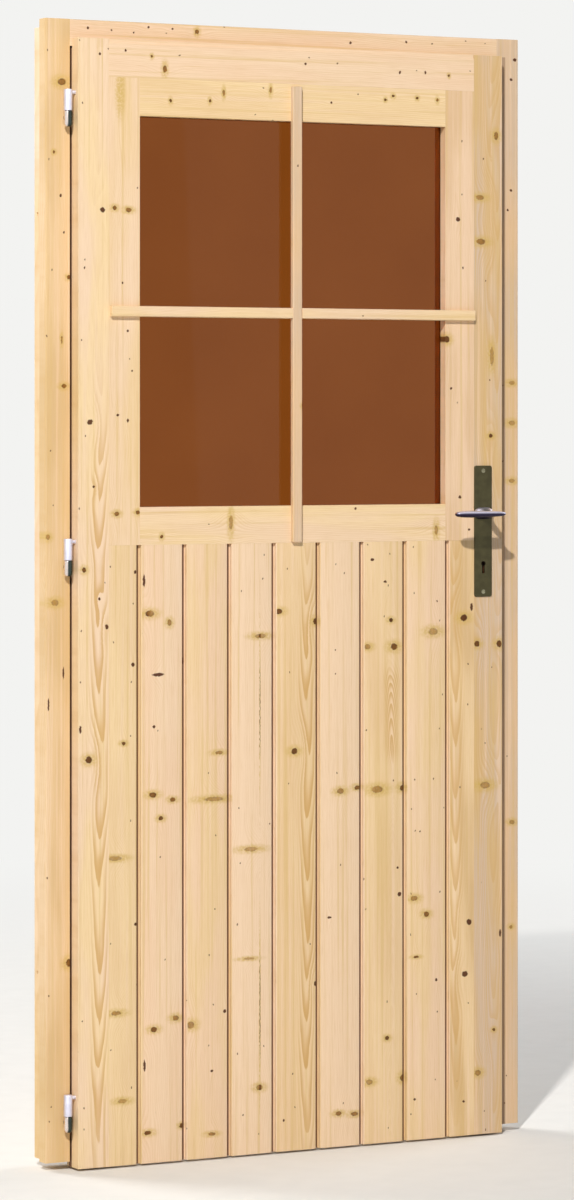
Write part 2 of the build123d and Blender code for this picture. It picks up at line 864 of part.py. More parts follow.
save(ledge(ledge_high), "top_ledge")

# Hinges, lowest first
for name, height in zip(["lower", "middle", "upper"], hinge_heights):
    save(hinge_frame_half(height), f"{name}_hinge_frame_half")
    save(hinge_leaf_half(height), f"{name}_hinge_leaf_half")

# Lock and handles
save(lock_case(), "lock_case")
save(faceplate() - faceplate_seats, "lock_faceplate")
save(Compound(children=[spot * screw(screw_length) for spot in faceplate_spots]), "faceplate_screws")
save(follower(), "lock_follower")
save(latch_bolt(), "latch_bolt")
save(dead_bolt(), "dead_bolt")
save(handle_plate(), "outer_handle_plate")
save(to_inside(handle_plate()), "inner_handle_plate")
outer_screws = [Pos(spindle_x, plate_face, z) * outwards * screw(screw_length) for z in plate_screw_levels()]
inner_screws = [to_inside(piece) for piece in outer_screws]
save(Compound(children=outer_screws + inner_screws), "plate_screws")
save(lever(), "outer_lever")
save(to_inside(lever()), "inner_lever")
save(spindle(), "spindle")
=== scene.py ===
import math

import bmesh
import bpy
from mathutils import Euler, Matrix, Vector


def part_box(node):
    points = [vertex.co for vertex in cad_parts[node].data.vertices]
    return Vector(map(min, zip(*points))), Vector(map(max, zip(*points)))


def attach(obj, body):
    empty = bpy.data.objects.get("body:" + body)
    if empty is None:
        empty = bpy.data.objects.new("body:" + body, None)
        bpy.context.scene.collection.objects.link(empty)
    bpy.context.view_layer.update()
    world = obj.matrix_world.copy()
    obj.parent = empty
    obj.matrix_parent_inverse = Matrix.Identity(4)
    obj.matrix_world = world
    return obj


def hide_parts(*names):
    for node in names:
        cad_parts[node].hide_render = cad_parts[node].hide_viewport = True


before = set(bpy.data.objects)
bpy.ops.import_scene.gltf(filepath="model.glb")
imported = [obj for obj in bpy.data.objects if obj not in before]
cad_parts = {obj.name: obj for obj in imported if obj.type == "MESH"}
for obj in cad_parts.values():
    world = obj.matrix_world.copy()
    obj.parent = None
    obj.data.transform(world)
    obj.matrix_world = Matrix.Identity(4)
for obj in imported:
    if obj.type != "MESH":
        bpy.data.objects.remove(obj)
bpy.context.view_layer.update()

# Camera and studio: the door is seen from the left at eye height, through a long level lens.
# The lens is shifted down, which keeps the door's uprights upright. A small strong lamp stands for the sun.
eye_place = (-3.696, -6.907, 1.264)
eye_turn_deg = -28.213
eye = bpy.data.cameras.new("eye")
eye.sensor_fit = "VERTICAL"
eye.sensor_height = 36.0
eye.lens = 133.83
eye.shift_y = -0.1493
camera = bpy.data.objects.new("camera", eye)
camera.location = eye_place
camera.rotation_euler = (math.radians(90), 0, math.radians(eye_turn_deg))
bpy.context.scene.collection.objects.link(camera)
bpy.context.scene.camera = camera
bpy.context.scene.view_settings.view_transform = "Standard"


def lamp(name, place, aim, size, power, colour):
    """A square soft box that looks at a point."""
    light = bpy.data.lights.new(name, "AREA")
    light.size = size
    light.energy = power
    light.color = colour
    box = bpy.data.objects.new(name, light)
    box.location = place
    box.rotation_euler = (Vector(aim) - Vector(place)).to_track_quat("-Z", "Y").to_euler()
    bpy.context.scene.collection.objects.link(box)


door_middle = (0.0, 0.0, 1.0)
lamp("key_light", (-5.5, -7.4, 7.6), door_middle, 0.3, 1200, (1.0, 0.975, 0.94))
lamp("fill_light", (5.0, -6.0, 2.4), door_middle, 4.0, 20, (0.92, 0.96, 1.0))
lamp("side_light", (6.5, 1.5, 3.2), door_middle, 3.0, 200, (0.97, 0.98, 1.0))
lamp("back_light", (-3.5, 6.0, 4.5), door_middle, 3.0, 430, (1.0, 0.98, 0.95))


class Wire:
    """One socket of a node tree, so that sums on it are written as sums."""

    def __init__(self, plan, socket):
        self.plan = plan
        self.socket = socket

    def work(self, operation, first, second=None):
        parts = [first] if second is None else [first, second]
        vector = any(isinstance(p, tuple) or (isinstance(p, Wire) and p.socket.type == "VECTOR") for p in parts)
        kind = "ShaderNodeVectorMath" if vector else "ShaderNodeMath"
        return self.plan.node(kind, {"operation": operation}, dict(enumerate(parts)))

    def __add__(self, other):
        return self.work("ADD", self, other)

    def __sub__(self, other):
        return self.work("SUBTRACT", self, other)

    def __rsub__(self, other):
        return self.work("SUBTRACT", other, self)

    def __mul__(self, other):
        return self.work("MULTIPLY", self, other)

    def __rpow__(self, other):
        return self.work("POWER", other, self)

    __radd__ = __add__
    __rmul__ = __mul__

    def call(self, operation, other=None):
        return self.work(operation, self, other)

    def length(self):
        made = self.call("LENGTH")
        return Wire(self.plan, made.socket.node.outputs["Value"])

    def dot(self, other):
        made = self.call("DOT_PRODUCT", other)
        return Wire(self.plan, made.socket.node.outputs["Value"])

    def split(self):
        made = self.plan.node("ShaderNodeSeparateXYZ", {}, {0: self})
        return [Wire(self.plan, socket) for socket in made.socket.node.outputs]

    def ease(self, low, high):
        """From 0 to 1 between two values of this one, with soft ends."""
        span = {"Value": self, "From Min": low, "From Max": high}
        return self.plan.node("ShaderNodeMapRange", {"interpolation_type": "SMOOTHSTEP"}, span)


class Plan:
    """A node tree that is built one node at a time."""

    def __init__(self, tree):
        self.tree = tree

    def node(self, kind, settings, sockets, out=0):
        made = self.tree.nodes.new(kind)
        for key, value in settings.items():
            setattr(made, key, value)
        for key, value in sockets.items():
            self.feed(made.inputs[key], value)
        return Wire(self, made.outputs[out])

    def feed(self, socket, value):
        if isinstance(value, Wire):
            self.tree.links.new(value.socket, socket)
        elif socket.type == "VECTOR" and not isinstance(value, tuple):
            socket.default_value = (value, value, value)
        else:
            socket.default_value = value

    def blend(self, share, first, second):
        return self.node("ShaderNodeMix", {"data_type": "RGBA"}, {0: share, 6: first, 7: second}, 2)

    def noise(self, at, detail=2.0, rough=0.5, out=0):
        sockets = {"Vector": at, "Scale": 1.0, "Detail": detail, "Roughness": rough}
        return self.node("ShaderNodeTexNoise", {}, sockets, out)


class Finish(Plan):
    """A material with one Principled surface, whose patterns are laid out in millimetres of the door."""

    def __init__(self, name):
        self.material = bpy.data.materials.new(name)
        self.material.use_nodes = True
        super().__init__(self.material.node_tree)
        self.surface = self.tree.nodes["Principled BSDF"]

    def place(self):
        return self.node("ShaderNodeTexCoord", {}, {}, "Object") * 1000.0

    def wear(self, **sockets):
        for key, value in sockets.items():
            self.feed(self.surface.inputs[key.replace("_", " ")], value)

    def emboss(self, height, depth_mm, strength):
        sockets = {"Strength": strength, "Distance": depth_mm / 1000, "Height": height}
        self.wear(Normal=self.node("ShaderNodeBump", {}, sockets))


def paint(red, green, blue):
    """A colour as it looks on a screen, 0 to 255, as Blender's linear values."""
    parts = [c / 255 for c in (red, green, blue)]
    return tuple(c / 12.92 if c < 0.04045 else ((c + 0.055) / 1.055) ** 2.4 for c in parts) + (1.0,)


pale_backdrop = paint(243, 243, 241)
soft_daylight = paint(214, 224, 240)
daylight_strength = 0.1


def seen_rays(plan):
    """1 where a direct look, a reflection or a look through glass meets this surface, 0 for its light on things."""
    rays = plan.node("ShaderNodeLightPath", {}, {}).socket.node.outputs
    direct, mirrored, through = [Wire(plan, rays[f"Is {kind} Ray"]) for kind in ("Camera", "Glossy", "Transmission")]
    return direct.call("MAXIMUM", mirrored).call("MAXIMUM", through)


studio = bpy.data.worlds.new("studio")
studio.use_nodes = True
bpy.context.scene.world = studio
sky = Plan(studio.node_tree)
shown = seen_rays(sky)
backdrop = studio.node_tree.nodes["Background"]
sky.feed(backdrop.inputs["Color"], sky.blend(shown, soft_daylight, pale_backdrop))
sky.feed(backdrop.inputs["Strength"], shown * (1.0 - daylight_strength) + daylight_strength)

# Floor: a plain pale studio floor just under the door's foot.
# It keeps the door's shadow and runs out into the backdrop further off.
floor_level = -0.014
floor_reach = 30.0
run_out_near_mm = 1400
run_out_far_mm = 5200
floor_mesh = bpy.data.meshes.new("floor")
floor_shape = bmesh.new()
bmesh.ops.create_circle(floor_shape, cap_ends=True, radius=floor_reach, segments=96)
bmesh.ops.translate(floor_shape, vec=(0, 0, floor_level), verts=floor_shape.verts)
floor_shape.to_mesh(floor_mesh)
floor = bpy.data.objects.new("floor", floor_mesh)
bpy.context.scene.collection.objects.link(floor)
ground = Finish("floor_finish")
on_floor = ground.place()
speckle = ground.noise(on_floor * 0.02, 4.0)
ground.wear(Base_Color=ground.blend(speckle, paint(226, 225, 222), paint(234, 233, 230)), Roughness=0.85)
far_floor = ground.node("ShaderNodeEmission", {}, {"Color": pale_backdrop, "Strength": 1.0})
run_out = on_floor.length().ease(run_out_near_mm, run_out_far_mm) * seen_rays(ground)
whole_floor = ground.node("ShaderNodeMixShader", {}, {0: run_out, 2: far_floor})
ground.tree.links.new(ground.surface.outputs[0], whole_floor.socket.node.inputs[1])
ground.feed(ground.tree.nodes["Material Output"].inputs["Surface"], whole_floor)
floor_mesh.materials.append(ground.material)

# Casings: planed pine boards on the wall's outer face, nailed on round the opening.
# The outer arris is rounded, the others are only eased with a plane.
pinkish = paint(240, 212, 182)
yellowish = paint(241, 214, 170)
straw = paint(235, 206, 163)
straw_shade = paint(211, 187, 163)
rosy = paint(238, 207, 177)
rosy_shade = paint(224, 191, 156)
tan = paint(230, 199, 157)
deep_tan = paint(214, 182, 136)
ring_tan = paint(206, 162, 98)
ring_pale = paint(219, 182, 128)
knot_brown = paint(152, 102, 38)
knot_dark = paint(72, 28, 4)
knot_halo = paint(204, 170, 90)
knot_olive = paint(216, 184, 122)
# Painted shade: the brown that stands in for shade in gaps and recesses.
painted_shade_brown = paint(86, 36, 14)

leaf_face_mm = -49.0
casing_face_mm = -24.0
leaf_top_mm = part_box("left_stile")[1].z * 1000


def pine(
    name, tone, second, cut, knots=(), rings=ring_pale, strong=0.4, level=False, seed=0.0, tongues=None,
    face=leaf_face_mm, painted_shades=(),
):
    """Planed pine in millimetres: rings about a pith, fibre, streaks, pin knots and the named knots.

    cut is where the pith runs, as (across, behind the face, how far its rings climb per metre, ring width).
    A knot is (across, along, half width, half length, darkness), and below 0 only its flame shows.
    tongues is where the rings show strongly, as (middle, half length) along the piece.
    A painted shade is colour that stands in for the shade in a gap or recess along an edge: (from depth, to depth,
    from across, to across, strength). Painted shades end at the leaf's top.
    """
    wood = Finish(name)
    x, y, z = wood.place().split()
    across, along = (z, x) if level else (x, z)
    flat = wood.node("ShaderNodeCombineXYZ", {}, {0: across, 1: along, 2: seed * 37.0})
    bend = wood.noise(flat * (0.006, 0.0045, 1.0), 1.0) - 0.5
    ripple = wood.noise(flat * (0.07, 0.014, 1.0), 2.0) - 0.5
    wobble = wood.noise(flat * (0.22, 0.22, 1.0), 1.0, out=1) - (0.5, 0.5, 0.5)
    flat_knot = flat * (1.0, 1.0, 0.0) + wobble * (3.2, 3.2, 0.0)

    grain = across - cut[0]
    lift, dark, body, flare = 0.0, 0.0, 30.0, 30.0
    for middle, height, half_width, half_length, shade in knots:
        away = flat_knot - (float(middle), float(height), 0.0)
        spread = away * (0.36 / half_width, 0.15 / half_length, 0.0)
        near = 0.37 ** spread.dot(spread)
        grain = grain - (across - float(middle)) * near * 0.7
        lift = near * (half_width * 0.8) + lift
        dark = near * shade + dark
        if shade >= 0:
            body = (away * (1.3 / half_width, 1.3 / half_length, 0.0)).length().call("MINIMUM", body)
        if shade < 0.75:
            flare = (away * (0.42 / half_width, 0.55 / half_length, 0.0)).length().call("MINIMUM", flare)

    deep = y - face
    hollow = bend * (cut[1] * 0.5) + deep + cut[1]
    swing = grain + bend * 16.0
    climb = along * (cut[2] / 1000.0) + bend * (cut[2] / 12.0)
    radius = (swing * swing + hollow * hollow).call("SQRT") + climb + lift + ripple * 1.6
    ring = (radius * (1 / cut[3])).call("FRACT")
    late = ring.ease(0.15, 0.88) * (1.0 - ring.ease(0.95, 1.0))
    band = wood.noise(radius * 0.05 + seed, 1.0)
    bold = band.ease(0.25, 0.60) * strong
    if tongues:
        bold = (band.ease(0.2, 0.5) * 0.3 + 0.7) * strong
        bold = bold * ((along - tongues[0]).call("ABSOLUTE").ease(tongues[1] * 1.25, tongues[1] * 0.75) * 0.88 + 0.12)
        bold = bold * (swing.call("ABSOLUTE").ease(19.0, 8.0) * 0.85 + 0.15)

    fibre = wood.noise(flat * (1.1, 0.022, 1.0), 3.0, 0.65)
    streak = wood.noise(flat * (0.13, 0.0014, 1.0) + (seed, 3.7, 0.0), 2.5)
    cloud = wood.noise(flat * (0.022, 0.0035, 1.0) + (seed, 9.1, 0.0), 1.0)

    base = wood.blend(cloud.ease(0.36, 0.64), tone, second)
    base = wood.blend(streak.ease(0.50, 0.72) * 0.55, base, knot_olive)
    base = wood.blend(streak.ease(0.50, 0.30) * 0.55, base, pinkish)
    base = wood.blend(late * bold, base, rings)
    base = wood.blend(fibre.ease(0.40, 0.80) * 0.34, base, ring_tan)

    spaced = flat_knot * (0.020, 0.013, 0.0) + (seed, seed, 0.0)
    cell = wood.node("ShaderNodeTexVoronoi", {"voronoi_dimensions": "2D"}, {"Vector": spaced, "Scale": 1.0})
    kept = Wire(wood, cell.socket.node.outputs["Color"]).split()[0].ease(0.54, 0.56)
    pin = (1.0 - cell.ease(0.014, 0.030)) * kept * deep.ease(2.5, 0.5)
    base = wood.blend(pin * 0.85, base, knot_dark)

    if knots:
        inside = 1.0 - body.ease(0.80, 1.15)
        rim = inside * body.ease(0.45, 0.95)
        side = (1.0 - flare.ease(0.30, 1.25)) * (wobble.split()[0].ease(-0.16, 0.10) * 0.4 + 0.4)
        base = wood.blend(side, base, knot_halo)
        heart = wood.blend(dark.ease(0.15, 0.9), knot_brown, knot_dark)
        heart = wood.blend((rim * 0.7 + 0.3) * wobble.split()[1].ease(-0.14, 0.10), heart, knot_dark)
        base = wood.blend(inside * (dark.ease(0.0, 0.5) * 0.4 + 0.55), base, heart)
    # Painted shade: each span is darkened towards brown where a gap or recess would shade it.
    for near_face, far_down, first, last, amount in painted_shades:
        inside = deep.ease(near_face, near_face + 1.2) * deep.ease(far_down + 1.2, far_down)
        inside = inside * across.ease(first - 0.8, first) * across.ease(last + 0.8, last)
        inside = inside * along.ease(leaf_top_mm + 1.0, leaf_top_mm)
        base = wood.blend(inside * amount, base, painted_shade_brown)
    wood.wear(Base_Color=base, Roughness=fibre * 0.2 + 0.46, Specular_IOR_Level=0.2)
    wood.emboss(fibre, 0.12, 0.3)
    return wood.material


def link(name, mesh, material, body, slot, *nodes):
    """Puts a finished piece on its body, in place of its CAD nodes."""
    piece = bpy.data.objects.new(name, mesh)
    bpy.context.scene.collection.objects.link(piece)
    if material is not None:
        mesh.materials.clear()
        mesh.materials.append(material)
    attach(piece, body)
    if nodes:
        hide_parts(*nodes)
    return piece


weld_reach = 0.000002
flat_deg = 0.6
smooth_deg = 34.0
arris_deg = 40.0


def planed(node, material, body, slot="leaf_pine", arris_mm=0.35):
    """A CAD piece copied, its loose triangles joined into clean faces, and its arrises eased."""
    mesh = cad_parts[node].data.copy()
    mesh.name = node + "_shape"
    work = bmesh.new()
    work.from_mesh(mesh)
    bmesh.ops.remove_doubles(work, verts=work.verts, dist=weld_reach)
    bmesh.ops.dissolve_limit(work, angle_limit=math.radians(flat_deg), verts=work.verts, edges=work.edges)
    work.to_mesh(mesh)
    work.free()
    mesh.set_sharp_from_angle(angle=math.radians(smooth_deg))
    for face in mesh.polygons:
        face.use_smooth = True
    piece = link(node + "_piece", mesh, material, body, slot, node)
    ease = piece.modifiers.new("eased_arris", "BEVEL")
    ease.width = arris_mm / 1000
    ease.segments = 2
    ease.limit_method = "ANGLE"
    ease.angle_limit = math.radians(arris_deg)
    ease.use_clamp_overlap = True
    ease.harden_normals = True


left_casing_knots = [
    (-439, 1842, 10, 8, 0.35), (-454, 1722, 3, 4, 0.5), (-426, 1509, 4, 5, 0.5), (-426, 339, 7, 9, 0.5),
    (-435, 1323, 6, 5, 0.4), (-441, 1648, 3, 4, 0.9), (-435, 1585, 2, 3, 0.9), (-439, 1402, 2, 9, 0.3),
    (-452, 954, 9, 7, 0.1), (-465, 1066, 5, 6, 0.2), (-436, 834, 2, 14, 0.9), (-464, 781, 2, 14, 0.9),
]
head_casing_knots = [
    (1936, -390, 3, 3, 0.9), (1942, -274, 3, 3, 0.9), (1941, -228, 3, 3, 0.9), (1938, -180, 5, 5, 0.4),
    (1931, 124, 3, 3, 0.8), (1937, 237, 3, 3, 0.8), (1932, -303, 2, 2, 0.9), (1934, -345, 2, 3, 0.8),
]
right_casing_knots = [
    (462, 1914, 5, 4, 0.9), (454, 1878, 4, 3, 0.9), (456, 1332, 8, 5, 0.1), (456, 1260, 9, 6, 0.0),
    (456, 1156, 8, 5, 0.0), (447, 1643, 3, 3, 0.9), (454, 1679, 3, 3, 0.8), (456, 542, 7, 5, 0.1),
    (454, 354, 4, 4, 0.2),
]
left_casing_pine = pine(
    "left_casing_pine", tan, deep_tan, (-560, 20, 12, 3.0), left_casing_knots, seed=1.0, face=casing_face_mm
)
head_casing_pine = pine(
    "head_casing_pine", rosy, pinkish, (1850, 20, 8, 3.4), head_casing_knots, level=True, seed=2.0,
    face=casing_face_mm,
)
# The right casing's inner edge carries painted shade, standing in for the leaf's shadow across the gap.
right_casing_pine = pine(
    "right_casing_pine", straw_shade, rosy_shade, (560, 20, -10, 3.2), right_casing_knots, strong=0.3, seed=3.0,
    face=casing_face_mm, painted_shades=[(-2.0, 30.0, 410.0, 441.5, 0.42)],
)
planed("left_casing", left_casing_pine, "frame", "frame_pine")
planed("head_casing", head_casing_pine, "frame", "frame_pine")
planed("right_casing", right_casing_pine, "frame", "frame_pine")

# Jambs, stops and threshold: the pine lining of the wall's opening, screwed to its cut ends.
# The leaf closes against the stop laths, and the threshold board is bevelled to shed rain.
upright_lining = pine("upright_lining_pine", straw, pinkish, (560, 30, 12, 3.2), seed=4.0)
level_lining = pine("level_lining_pine", pinkish, straw, (1850, 30, 10, 3.2), level=True, seed=5.0)
threshold_pine = pine("threshold_pine", straw, yellowish, (-90, 20, 30, 3.0), level=True, seed=6.0, strong=0.6)
planed("left_jamb", upright_lining, "frame", "frame_pine")
planed("right_jamb", upright_lining, "frame", "frame_pine")
planed("head_jamb", level_lining, "frame", "frame_pine")
planed("left_stop", upright_lining, "frame", "frame_pine")
planed("right_stop", upright_lining, "frame", "frame_pine")
planed("head_stop", level_lining, "frame", "frame_pine")
planed("threshold", threshold_pine, "frame", "frame_pine", arris_mm=0.8)

# Stiles and top rail: the leaf's outer frame of 44 mm pine, tenoned and glued.
# The left stile is flat sawn, so its rings show as nested tongues; the right one is nearly straight in the grain.
left_stile_knots = [
    (-366, 912, 4, 6, 0.8), (-400, 686, 8, 8, 0.7), (-374, 1624, 6, 6, 0.9), (-379, 1890, 3, 3, 0.9),
    (-416, 738, 3, 9, 0.9), (-398, 1262, 7, 6, 0.8), (-409, 1010, 5, 6, 0.6), (-380, 960, 3, 3, 0.9),
    (-408, 1525, 2, 3, 0.9), (-391, 1152, 3, 3, 0.8),
]
right_stile_knots = [
    (408, 1774, 6, 9, 0.3), (374, 1663, 11, 6, 0.2), (376, 1584, 12, 7, 0.3), (397, 1237, 5, 5, 0.6),
    (414, 865, 7, 8, 0.4), (368, 866, 7, 7, 0.2), (385, 613, 13, 8, 0.1), (403, 175, 4, 4, 0.6),
    (370, 100, 8, 7, 0.2), (416, 347, 3, 9, 0.8), (399, 1380, 5, 22, 0.0), (380, 1004, 14, 26, 1.0),
]
top_rail_knots = [
    (1869, -255, 8, 5, 0.4), (1898, -330, 3, 3, 0.9), (1890, -280, 3, 3, 0.5), (1888, 20, 3, 3, 0.8),
    (1880, 210, 4, 3, 0.8), (1882, 262, 4, 3, 0.8), (1878, 310, 3, 3, 0.7),
]
# The left stile's edge deep in the hinge gap carries painted shade.
left_stile_pine = pine(
    "left_stile_pine", yellowish, pinkish, (-380, 24, -31, 3.4), left_stile_knots, ring_tan, 0.8, seed=7.0,
    tongues=(620, 620), painted_shades=[(25.0, 36.0, -430.0, -410.0, 0.88)],
)
right_stile_pine = pine(
    "right_stile_pine", deep_tan, straw_shade, (402, 16, -30, 3.0), right_stile_knots, ring_tan, 0.42, seed=8.0
)
top_rail_pine = pine(
    "top_rail_pine", rosy, pinkish, (1800, 20, 8, 3.6), top_rail_knots, strong=0.25, level=True, seed=9.0
)
planed("left_stile", left_stile_pine, "leaf")
planed("right_stile", right_stile_pine, "leaf")
planed("top_rail", top_rail_pine, "leaf")

# Window frame: four members of the same 44 mm pine, let in flush between the stiles.
# It is rebated at the back, and the pane lies in the rebate under four small beads.
window_left_knots = [
    (-351, 1628, 5, 5, 0.4), (-324, 1625, 7, 5, 0.4), (-326, 1418, 3, 3, 0.9), (-345, 1274, 3, 3, 0.9),
    (-326, 1264, 3, 4, 0.8), (-347, 1105, 6, 5, 0.4), (-307, 1107, 5, 5, 0.5), (-340, 1828, 5, 30, -0.1),
    (-336, 1500, 2, 3, 0.9), (-318, 1350, 2, 2, 0.9),
]
window_right_knots = [
    (329, 1623, 6, 5, 0.9), (306, 1409, 7, 8, 0.7), (315, 1322, 3, 3, 0.8), (333, 1128, 4, 4, 0.8),
    (352, 1070, 3, 3, 0.9), (339, 1536, 2, 3, 0.9),
]
window_top_knots = [
    (1832, -141, 7, 3, 0.3), (1817, -168, 4, 3, 0.6), (1815, -244, 4, 3, 0.7), (1822, 72, 3, 3, 0.8),
    (1838, 196, 3, 4, 0.7), (1836, 245, 3, 4, 0.7), (1831, 180, 3, 3, 0.5), (1834, 286, 4, 3, 0.4),
    (1840, -49, 7, 3, 0.3),
]
window_bottom_knots = [
    (1065, -261, 4, 4, 0.6), (1088, -127, 16, 5, 0.1), (1070, 284, 11, 5, 0.1), (1110, 120, 3, 3, 0.8),
]
window_left_pine = pine("window_left_pine", pinkish, straw, (-430, 20, 14, 3.0), window_left_knots, seed=10.0)
window_right_pine = pine(
    "window_right_pine", rosy, rosy_shade, (430, 24, 12, 3.4), window_right_knots, strong=0.3, seed=11.0
)
window_top_pine = pine(
    "window_top_pine", yellowish, straw, (1760, 20, 8, 3.0), window_top_knots, level=True, seed=12.0
)
window_bottom_pine = pine(
    "window_bottom_pine", yellowish, pinkish, (1160, 18, -14, 3.0), window_bottom_knots, level=True, seed=13.0
)
planed("window_left_side", window_left_pine, "leaf")
planed("window_right_side", window_right_pine, "leaf")
planed("window_top_rail", window_top_pine, "leaf")
planed("window_bottom_rail", window_bottom_pine, "leaf")
bead_pine = pine("bead_pine", pinkish, straw, (-400, 20, 12, 2.6), seed=14.0, strong=0.3)
level_bead_pine = pine("level_bead_pine", straw, pinkish, (1300, 20, 10, 2.6), level=True, seed=15.0, strong=0.3)
planed("left_bead", bead_pine, "leaf")
planed("right_bead", bead_pine, "leaf")
planed("top_bead", level_bead_pine, "leaf")
planed("bottom_bead", level_bead_pine, "leaf")

# Pane: one sheet of 4 mm glass with a bronze tint through its whole thickness, its edges seamed.
# It lies in the window frame's rebate, and the beads hold it from the room side.
bronze_glass = Finish("bronze_glass")
haze = bronze_glass.noise(bronze_glass.place() * 0.006, 3.0)
bronze_glass.wear(
    Base_Color=bronze_glass.blend(haze, paint(128, 66, 18), paint(140, 76, 26)),
    Roughness=haze * 0.02 + 0.01, Transmission_Weight=1.0, IOR=1.25,
)
planed("glass_pane", bronze_glass.material, "leaf", "tinted_glass", arris_mm=0.5)

# Glazing bars: two thin pine laths over the pane, halved together where they cross.
# They are planted on the window frame from outside, and their ends run out over it.
upright_bar_knots = [(10, 1290, 3, 4, 0.5), (0, 1709, 2, 3, 0.9)]
upright_bar_pine = pine("upright_bar_pine", straw_shade, rosy_shade, (90, 20, 10, 2.6), upright_bar_knots, seed=16.0)
cross_bar_pine = pine("cross_bar_pine", yellowish, pinkish, (1380, 20, 8, 2.6), level=True, seed=17.0)
planed("upright_bar", upright_bar_pine, "leaf", arris_mm=0.3)
planed("cross_bar", cross_bar_pine, "leaf", arris_mm=0.3)

# Boards: nine tongued and grooved pine boards with a shadow gap, nailed to the ledges behind.
# The first and the last are ripped to fit between the stiles.
board_pitch = 0.0874
board_thickness = 0.019
shadow_width = 0.0085
shadow_depth = 0.0065
tongue_length = 0.006
tongue_thickness = 0.0055
tongue_fit = 0.0003
board_round = 0.0015
first_width = 0.0617
board_low, board_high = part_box("board_2")
stile_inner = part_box("left_stile")[1].x
board_count = 9


def board_outline():
    """The closed outline of one board's section as an edge loop, its front arrises rounded."""
    front = board_pitch - shadow_width
    tongue_back = shadow_depth + tongue_thickness
    points = []
    for centre, start in ((board_round, 180), (front - board_round, 270)):
        for step in range(5):
            angle = math.radians(start + step * 22.5)
            points.append((centre + board_round * math.cos(angle), board_round + board_round * math.sin(angle)))
    tongue_end = board_pitch + tongue_length
    groove_end = tongue_length + tongue_fit
    groove_back = tongue_back + tongue_fit
    groove_front = shadow_depth - tongue_fit
    points += [
        (front, shadow_depth), (tongue_end, shadow_depth), (tongue_end, tongue_back), (board_pitch, tongue_back),
        (board_pitch, board_thickness), (0, board_thickness), (0, groove_back), (groove_end, groove_back),
        (groove_end, groove_front), (0, groove_front),
    ]
    mesh = bpy.data.meshes.new("board_outline")
    count = len(points)
    mesh.from_pydata([(px, py, 0) for px, py in points], [(i, (i + 1) % count) for i in range(count)], [])
    return mesh


class Recipe(Plan):
    """A Geometry Nodes tree with named inputs, run on a mesh and turned into a plain mesh."""

    def __init__(self, name, inputs):
        super().__init__(bpy.data.node_groups.new(name, "GeometryNodeTree"))
        sockets = self.tree.interface
        sockets.new_socket("Geometry", in_out="OUTPUT", socket_type="NodeSocketGeometry")
        sockets.new_socket("Geometry", in_out="INPUT", socket_type="NodeSocketGeometry")
        self.keys = {}
        for label, (kind, value) in inputs.items():
            made = sockets.new_socket(label, in_out="INPUT", socket_type="NodeSocket" + kind)
            self.keys[made.identifier] = value
        self.start = self.tree.nodes.new("NodeGroupInput")

    def given(self, label):
        return Wire(self, self.start.outputs[label])

    def serve(self, result, name, mesh):
        end = self.tree.nodes.new("NodeGroupOutput")
        painted = self.node("GeometryNodeSetMaterial", {}, {"Geometry": result, "Material": self.given("Material")})
        self.feed(end.inputs[0], painted)
        holder = bpy.data.objects.new(name + "_recipe", mesh)
        bpy.context.scene.collection.objects.link(holder)
        step = holder.modifiers.new("recipe", "NODES")
        step.node_group = self.tree
        for key, value in self.keys.items():
            step[key] = value
        bpy.context.view_layer.update()
        shape = bpy.data.meshes.new_from_object(holder.evaluated_get(bpy.context.evaluated_depsgraph_get()))
        bpy.data.objects.remove(holder)
        shape.name = name
        return shape


